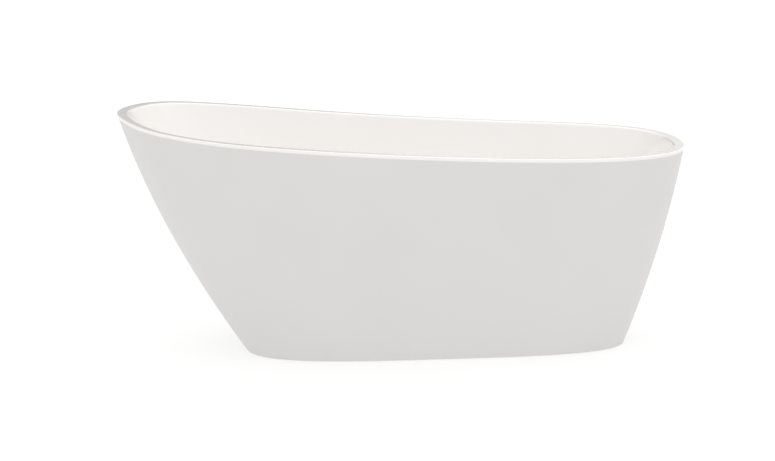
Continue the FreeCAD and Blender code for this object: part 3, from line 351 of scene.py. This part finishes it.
def overflow_cutter():
    """Cylinder through the basin's wall at the drain end, square to the wall."""
    drain_end = np.zeros(1)
    share = wall_share(drain_end, OVERFLOW_DEPTH)
    centre = Vector(wall(drain_end, share)[0])
    upward = Vector(wall(drain_end, share + STEP)[0]) - centre
    normal = Vector((0, 1, 0)).cross(upward).normalized()
    mesh = bpy.data.meshes.new("overflow_hole_cutter")
    work = bmesh.new()
    bmesh.ops.create_cone(work, cap_ends=True, segments=HOLE_SIDES, depth=4 * SHELL_WALL,
                          radius1=OVERFLOW_HOLE_RADIUS, radius2=OVERFLOW_HOLE_RADIUS)
    work.to_mesh(mesh)
    work.free()
    cutter = new_object("overflow_hole_cutter", mesh)
    turn = normal.to_track_quat("Z", "Y").to_matrix().to_4x4()
    cutter.matrix_world = Matrix.Translation(centre) @ turn
    return cutter


def cut_away(shell, cutter):
    """Take the cutter's volume out of the shell, then remove the cutter."""
    modifier = shell.modifiers.new("overflow_hole", "BOOLEAN")
    modifier.operation = "DIFFERENCE"
    modifier.solver = "EXACT"
    modifier.object = cutter
    bpy.context.view_layer.update()
    cut_shell = shell.evaluated_get(bpy.context.evaluated_depsgraph_get())
    cut_mesh = bpy.data.meshes.new_from_object(cut_shell)
    shell.modifiers.clear()
    shell.data = cut_mesh
    cutter_mesh = cutter.data
    bpy.data.objects.remove(cutter)
    bpy.data.meshes.remove(cutter_mesh)
    smooth(cut_mesh)


def make_inner_shell():
    """Basin, flat rim and turned-down lip, with the pressed seat and the overflow's hole."""
    rows = [seat(ANGLES, 0)]
    rows += spread(seat, 0, 1, SEAT_ROWS)
    rows += spread(dish, 0, 1, ROUND_ROWS)
    rows += spread(basin, 0, 1, COVE_ROWS)
    rows += spread(basin, 1, 2, COVE_ROWS)
    rows += spread(basin, 2, 3, WALL_ROWS)
    rows += spread(inner_round, 0, 1, ROUND_ROWS)
    rows += spread(flat_rim, 0, 1, FLAT_ROWS)
    rows += spread(outer_round, 0, 1, ROUND_ROWS)
    # From the middle of the outer round down the lip, the shell takes its second material, whose darker
    # colour is painted shade.
    lip_start = len(rows) - ROUND_ROWS // 2
    rows += spread(lip, 0, 1, LIP_ROWS)
    lip_end = len(rows)
    rows += [skirt_inside(ANGLES, below_rim(ANGLES, LIP_DEPTH), SHELL_WALL)]
    rows += [skirt_inside(ANGLES, below_rim(ANGLES, SHELL_WALL), SHELL_WALL)]
    rows += [under_basin(ANGLES, 3)]
    rows += spread(under_basin, 3, 2, WALL_ROWS // 2)
    rows += spread(under_basin, 2, 1, COVE_ROWS // 2)
    rows += spread(under_basin, 1, 0, COVE_ROWS // 2)
    rows += spread(dish_under, 1, 0, ROUND_ROWS // 2)
    rows += [round_drain(ANGLES, DRAIN_HOLE_RADIUS, SEAT_Z - SHELL_WALL)]
    shell = ring_mesh("bath_basin_and_rim", rows, range(lip_start, lip_end))
    cut_away(shell, overflow_cutter())
    return shell


def make_outer_shell():
    """Tapered skirt with an inward flange along its foot."""
    def outside(angle, share):
        return skirt(angle, share * below_rim(angle, LIP_DEPTH))

    def inside(angle, share):
        low = SHELL_WALL / (rim_outline(angle)[..., 2] - SKIRT_GAP)
        high = below_rim(angle, LIP_DEPTH)
        return skirt_inside(angle, low + (high - low) * share, SHELL_WALL)

    def flange_edge(height):
        edge = skirt_inside(ANGLES, 0, SHELL_WALL + SKIRT_FLANGE)
        edge[..., 2] = SKIRT_GAP + height
        return edge

    rows = [outside(ANGLES, 0)]
    rows += spread(outside, 0, 1, 2 * WALL_ROWS)
    rows += [inside(ANGLES, 1)]
    rows += spread(inside, 1, 0, WALL_ROWS)
    rows += [flange_edge(SHELL_WALL), flange_edge(0)]
    return ring_mesh("bath_outer_shell", rows)


def make_spring():
    """Coil of round wire that fills the box of the CAD spring, with plain cut ends."""
    low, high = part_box("stopper_spring")
    coil_radius = (high.x - low.x) / 2 - SPRING_WIRE_RADIUS
    turn = np.linspace(0, 2 * math.pi * SPRING_TURNS, SPRING_STEPS * SPRING_TURNS + 1)[:, None]
    around = np.linspace(0, 2 * math.pi, SPRING_SIDES, endpoint=False)[None, :]
    reach = coil_radius + SPRING_WIRE_RADIUS * np.cos(around)
    rise = (high.z - low.z - 2 * SPRING_WIRE_RADIUS) * turn / turn[-1]
    x = DRAIN.x + reach * np.cos(turn)
    y = DRAIN.y + reach * np.sin(turn)
    z = low.z + SPRING_WIRE_RADIUS + rise + SPRING_WIRE_RADIUS * np.sin(around)
    firsts = SPRING_SIDES * np.arange(len(turn))
    faces = []
    for this, following in zip(firsts[:-1], firsts[1:]):
        faces += strip(this, following, SPRING_SIDES).tolist()
    for this in (firsts[0], firsts[-1]):
        faces.append((this + np.arange(SPRING_SIDES)).tolist())
    vertices = np.stack([x, y, z], axis=-1).reshape(-1, 3)
    return new_object("stopper_coil_spring", closed_mesh("stopper_coil_spring", vertices, faces))


# ---- shader nodes ----------------------------------------------------------------------------
NOISE_LOW = 0.3                     # most of a noise's values lie between these two
NOISE_HIGH = 0.7
RAMP_MIDDLE = 0.5                   # where a stop stands before it gets its own place


def material(name, **sockets):
    """New material whose shader sockets are set by name; gives the material, nodes and shader."""
    made = bpy.data.materials.new(name)
    made.use_nodes = True
    shader = made.node_tree.nodes["Principled BSDF"]
    for socket, value in sockets.items():
        shader.inputs[socket.replace("_", " ")].default_value = value
    return made, made.node_tree, shader


def place(tree, stretch=(1, 1, 1)):
    """Position on the object in metres, stretched along its axes."""
    where = tree.nodes.new("ShaderNodeTexCoord")
    scaled = tree.nodes.new("ShaderNodeMapping")
    scaled.inputs["Scale"].default_value = stretch
    tree.links.new(where.outputs["Object"], scaled.inputs["Vector"])
    return scaled.outputs["Vector"]


def noise(tree, vector, scale, detail=4.0, harshness=0.5):
    node = tree.nodes.new("ShaderNodeTexNoise")
    node.inputs["Scale"].default_value = scale
    node.inputs["Detail"].default_value = detail
    node.inputs["Roughness"].default_value = harshness
    tree.links.new(vector, node.inputs["Vector"])
    return node.outputs["Fac"]


def remap(tree, value, low, high, start=NOISE_LOW, stop=NOISE_HIGH):
    """Value that goes from low to high while the given value goes from start to stop."""
    node = tree.nodes.new("ShaderNodeMapRange")
    for socket, number in (("From Min", start), ("From Max", stop), ("To Min", low), ("To Max", high)):
        node.inputs[socket].default_value = number
    tree.links.new(value, node.inputs["Value"])
    return node.outputs["Result"]


def ramp(tree, value, *stops):
    """Colour ramp through (position, colour) stops."""
    node = tree.nodes.new("ShaderNodeValToRGB")
    elements = node.color_ramp.elements
    while len(elements) < len(stops):
        elements.new(RAMP_MIDDLE)
    for element, (position, colour) in zip(elements, stops):
        element.position = position
        element.color = (*colour, 1)
    tree.links.new(value, node.inputs["Fac"])
    return node.outputs["Color"]


def two_tone(tree, shader, value, dark, light):
    colour = ramp(tree, value, (NOISE_LOW, dark), (NOISE_HIGH, light))
    tree.links.new(colour, shader.inputs["Base Color"])


def rough(tree, shader, value, smoothest, roughest):
    tree.links.new(remap(tree, value, smoothest, roughest), shader.inputs["Roughness"])


def bump(tree, shader, value, height):
    """Relief of the given height in metres."""
    node = tree.nodes.new("ShaderNodeBump")
    node.inputs["Strength"].default_value = 1.0
    node.inputs["Distance"].default_value = height
    tree.links.new(value, node.inputs["Height"])
    tree.links.new(node.outputs["Normal"], shader.inputs["Normal"])


def multiply(tree, kind, first, second):
    """Product of two outputs, by a math node of the given kind."""
    node = tree.nodes.new(kind)
    node.operation = "MULTIPLY"
    tree.links.new(first, node.inputs[0])
    tree.links.new(second, node.inputs[1])
    return node.outputs[0]


# ---- materials -------------------------------------------------------------------------------
def grained(name, dark, light, smoothest, roughest, relief, scale, detail,
            harshness=0.5, stretch=(1, 1, 1), **sockets):
    """Material whose tone, gloss and relief all follow one grain."""
    made, tree, shader = material(name, **sockets)
    grain = noise(tree, place(tree, stretch), scale, detail, harshness)
    two_tone(tree, shader, grain, dark, light)
    rough(tree, shader, grain, smoothest, roughest)
    bump(tree, shader, grain, relief)
    return made


def acrylic(name, dark, light, smoothest, roughest, **sockets):
    """White sanitary acrylic: very slight orange peel and tone drift."""
    made, tree, shader = material(name, IOR=1.49, **sockets)
    where = place(tree)
    two_tone(tree, shader, noise(tree, where, scale=3, detail=2), dark, light)
    rough(tree, shader, noise(tree, where, scale=40, detail=3), smoothest, roughest)
    bump(tree, shader, noise(tree, where, scale=120, detail=1), height=0.00002)
    return made


def gloss_acrylic():
    """Polished face of the basin and its rim."""
    return acrylic("gloss_white_acrylic", dark=(0.855, 0.842, 0.828), light=(0.870, 0.857, 0.843),
                   smoothest=0.20, roughest=0.26, Coat_Weight=0.35, Coat_Roughness=0.06)


def satin_acrylic_painted_shade():
    """Duller face of the skirt and the lip; its colour, darker than the basin's, is painted shade."""
    return acrylic("satin_white_acrylic_painted_shade", dark=(0.686, 0.675, 0.673), light=(0.701, 0.690, 0.688),
                   smoothest=0.42, roughest=0.50, Specular_IOR_Level=0.15)


def laminate():
    """Glass-fibre laminate: yellowish resin over chopped strands."""
    return grained("glass_fibre_laminate", dark=(0.50, 0.47, 0.36), light=(0.72, 0.70, 0.60),
                   smoothest=0.35, roughest=0.6, relief=0.0006,
                   scale=90, detail=6, harshness=0.7, stretch=(1, 6, 3), Specular_IOR_Level=0.5)


def adhesive():
    """Lumpy cured adhesive."""
    return grained("cured_adhesive", dark=(0.70, 0.70, 0.66), light=(0.80, 0.79, 0.76),
                   smoothest=0.45, roughest=0.6, relief=0.0004, scale=160, detail=3)


def board():
    """Green moisture-proof fibreboard."""
    return grained("moisture_proof_board", dark=(0.16, 0.22, 0.13), light=(0.30, 0.36, 0.22),
                   smoothest=0.75, roughest=0.95, relief=0.0003,
                   scale=220, detail=8, harshness=0.75, stretch=(1, 5, 8))


def powder_coat():
    """Black powder coat with a fine orange peel."""
    return grained("black_powder_coat", dark=(0.020, 0.020, 0.022), light=(0.032, 0.032, 0.034),
                   smoothest=0.38, roughest=0.55, relief=0.00012, scale=700, detail=3)


def zinc_plate():
    """Bright zinc plating: faint clouds, and fine drawing lines across them."""
    made, tree, shader = material("zinc_plated_steel", Metallic=1.0)
    clouds = noise(tree, place(tree), scale=130, detail=4)
    lines = noise(tree, place(tree, (1, 1, 12)), scale=400, detail=3)
    two_tone(tree, shader, clouds, dark=(0.56, 0.58, 0.60), light=(0.68, 0.69, 0.70))
    rough(tree, shader, clouds, smoothest=0.22, roughest=0.42)
    bump(tree, shader, lines, height=0.00006)
    return made


def chrome():
    """Polished chrome plate: hairline polish, slightly uneven gloss."""
    return grained("polished_chrome", dark=(0.76, 0.775, 0.79), light=(0.82, 0.83, 0.84),
                   smoothest=0.04, roughest=0.09, relief=0.000004,
                   scale=260, detail=4, stretch=(1, 1, 14), Metallic=1.0)


def moulded(name, dark, light):
    """Injection-moulded plastic with a fine spark-eroded texture."""
    return grained(name, dark, light, smoothest=0.4, roughest=0.55, relief=0.00008,
                   scale=900, detail=2)


def rubber():
    """Matt black rubber."""
    return grained("black_rubber", dark=(0.012, 0.012, 0.012), light=(0.028, 0.028, 0.028),
                   smoothest=0.65, roughest=0.85, relief=0.0001,
                   scale=500, detail=5, Specular_IOR_Level=0.35)


def turned_metal(name, dark, light):
    """Metal with the fine rings of a lathe tool."""
    return grained(name, dark, light, smoothest=0.2, roughest=0.36, relief=0.00003,
                   scale=300, detail=3, stretch=(0.4, 0.4, 20), Metallic=1.0)


def all_materials():
    """The material of each slot in the record."""
    return {
        "acrylic_shell": gloss_acrylic(),
        "laminate": laminate(),
        "adhesive": adhesive(),
        "board": board(),
        "frame_paint": powder_coat(),
        "zinc_steel": zinc_plate(),
        "chrome": chrome(),
        "black_plastic": moulded("black_moulded_plastic", (0.018, 0.018, 0.018), (0.035, 0.035, 0.035)),
        "white_plastic": moulded("white_moulded_plastic", (0.72, 0.72, 0.70), (0.80, 0.80, 0.78)),
        "rubber": rubber(),
        "brass": turned_metal("turned_brass", (0.56, 0.42, 0.17), (0.68, 0.53, 0.25)),
        "spring_steel": turned_metal("spring_steel", (0.50, 0.50, 0.51), (0.64, 0.64, 0.65)),
    }


def dress(obj, *made):
    obj.data.materials.clear()
    for one in made:
        obj.data.materials.append(one)


# ---- stage, light and camera -----------------------------------------------------------------
FLOOR_SIZE = 80.0
FLOOR_GLOW = 0.67
FLOOR_DARK = (0.33, 0.33, 0.33)
FLOOR_LIGHT = (0.34, 0.34, 0.34)

# The dome's colours by the height of a direction: 0 is level with the horizon, 1 is overhead.
SKY_STRENGTH = 1.14
SKY_BY_HEIGHT = ((0.0, (0.55, 0.55, 0.555)), (0.35, (0.80, 0.795, 0.79)), (1.0, (1.45, 1.43, 1.41)))
# The screen's colours across the dome: 0 is at the left of the tub, 1 at its right. It comes in
# as a direction turns to the back, and fades out as it rises.
BRIGHT = (0.80, 0.78, 0.75)
DARK = (0.05, 0.045, 0.04)
DIM = (0.66, 0.64, 0.60)
SIDE = (1.15, 1.13, 1.10)
SCREEN_ACROSS = ((0.25, BRIGHT), (0.325, DARK), (0.525, DARK), (0.57, BRIGHT), (0.60, DIM),
                 (0.64, DIM), (0.74, SIDE))
SCREEN_BACKWARD = (0.0, 0.5)
SCREEN_HEIGHT = (0.30, 0.60)
NO_SCREEN = (1, 1, 1, 1)
MIX_SHARE, MIX_FIRST, MIX_SECOND, MIX_RESULT = 0, 6, 7, 2   # colour sockets of a mix node

CAMERA_AZIMUTH = -4.833
CAMERA_ELEVATION = 12.214
CAMERA_DISTANCE = 5.917
CAMERA_LENS = 90.4
CAMERA_SENSOR = 36.0
CAMERA_REACH = 200.0
AIM = Vector((-0.0444, 0, 0.3449))


def make_floor():
    """White studio floor that glows, like a photographer's light table."""
    mesh = bpy.data.meshes.new("studio_floor")
    half = FLOOR_SIZE / 2
    mesh.from_pydata([(-half, -half, 0), (half, -half, 0), (half, half, 0), (-half, half, 0)],
                     [], [(0, 1, 2, 3)])
    floor = new_object("studio_floor", mesh)
    made, tree, shader = material("studio_floor_white", Roughness=1.0, Specular_IOR_Level=0.0,
                                  Emission_Color=(1, 1, 1, 1), Emission_Strength=FLOOR_GLOW)
    two_tone(tree, shader, noise(tree, place(tree), scale=0.5), FLOOR_DARK, FLOOR_LIGHT)
    dress(floor, made)


def screen_colour(tree, direction):
    """White, or low behind the tub the screen's colours: dark in the middle, bright at the right."""
    across = remap(tree, direction["X"], 0, 1, start=-1, stop=1)
    behind = remap(tree, direction["Y"], 0, 1, *SCREEN_BACKWARD)
    low = remap(tree, direction["Z"], 1, 0, *SCREEN_HEIGHT)
    blend = tree.nodes.new("ShaderNodeMix")
    blend.data_type = "RGBA"
    blend.inputs[MIX_FIRST].default_value = NO_SCREEN
    tree.links.new(multiply(tree, "ShaderNodeMath", behind, low), blend.inputs[MIX_SHARE])
    tree.links.new(ramp(tree, across, *SCREEN_ACROSS), blend.inputs[MIX_SECOND])
    return blend.outputs[MIX_RESULT]


def make_sky():
    """Soft studio dome, brighter overhead, tinted by the screen."""
    world = bpy.data.worlds.new("studio_dome")
    bpy.context.scene.world = world
    world.use_nodes = True
    tree = world.node_tree
    where = tree.nodes.new("ShaderNodeTexCoord")
    split = tree.nodes.new("ShaderNodeSeparateXYZ")
    tree.links.new(where.outputs["Generated"], split.inputs["Vector"])
    by_height = ramp(tree, split.outputs["Z"], *SKY_BY_HEIGHT)
    screen = screen_colour(tree, split.outputs)
    sky = multiply(tree, "ShaderNodeVectorMath", by_height, screen)
    background = tree.nodes["Background"]
    tree.links.new(sky, background.inputs["Color"])
    background.inputs["Strength"].default_value = SKY_STRENGTH


def make_camera():
    """Camera in the photographer's place, aimed at a point inside the tub."""
    camera = bpy.data.objects.new("camera", bpy.data.cameras.new("camera"))
    bpy.context.scene.collection.objects.link(camera)
    azimuth = math.radians(CAMERA_AZIMUTH)
    elevation = math.radians(CAMERA_ELEVATION)
    back = Vector((math.sin(azimuth) * math.cos(elevation),
                   -math.cos(azimuth) * math.cos(elevation), math.sin(elevation)))
    camera.location = AIM + back * CAMERA_DISTANCE
    camera.rotation_euler = (-back).to_track_quat("-Z", "Y").to_euler()
    camera.data.lens = CAMERA_LENS
    camera.data.sensor_width = CAMERA_SENSOR
    camera.data.clip_end = CAMERA_REACH
    bpy.context.scene.camera = camera


# ---- putting it together ---------------------------------------------------------------------
materials = all_materials()
slot_of = {part["node"]: part["material_slot"] for part in frame["record"]["subparts"]}
for node, obj in frame["nodes"].items():
    dress(obj, materials[slot_of[node]])
    smooth(obj.data)

# The skirt and the lip take the satin acrylic, whose darker colour is painted shade.
satin_painted_shade = satin_acrylic_painted_shade()
for node, make, made in (("inner_shell", make_inner_shell, (materials["acrylic_shell"], satin_painted_shade)),
                         ("outer_shell", make_outer_shell, (satin_painted_shade,))):
    piece = make()
    dress(piece, *made)
    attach(piece, "tub")
    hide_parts(node)

spring = make_spring()
dress(spring, materials[slot_of["stopper_spring"]])
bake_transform(spring)
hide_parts("stopper_spring")

make_floor()
make_sky()
make_camera()
bpy.context.scene.view_settings.view_transform = "Standard"
